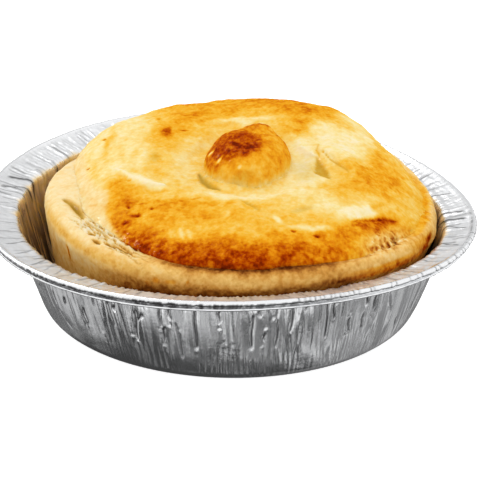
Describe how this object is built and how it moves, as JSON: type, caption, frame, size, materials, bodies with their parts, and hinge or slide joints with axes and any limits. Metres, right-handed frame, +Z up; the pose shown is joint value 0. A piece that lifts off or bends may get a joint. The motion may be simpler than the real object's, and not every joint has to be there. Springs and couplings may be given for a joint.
{
  "type": "beef and onion pie in a foil tin",
  "caption": "Round savoury pie with a domed pastry lid and a pastry button on top, baked and standing in its own shallow foil tin with a flared, rolled rim.",
  "frame": {"origin": "centre of the tin's flat underside, on the surface the tin stands on", "axes": "+Z up, +X to the right and -Y towards the viewer in the picture"},
  "size_m": [0.1247, 0.126, 0.0448],
  "materials": {
    "foil": "bright crinkled foil",
    "pale_pastry": "pale cream baked pastry",
    "baked_pastry": "egg-washed, golden to brown pastry",
    "glazed_pastry": "glossy browned pastry"
  },
  "bodies": {
    "root": {"foil_tray": "foil", "crust_base": "pale_pastry", "crust_lid": "baked_pastry", "pastry_button": "glazed_pastry"}
  },
  "joints": []
}
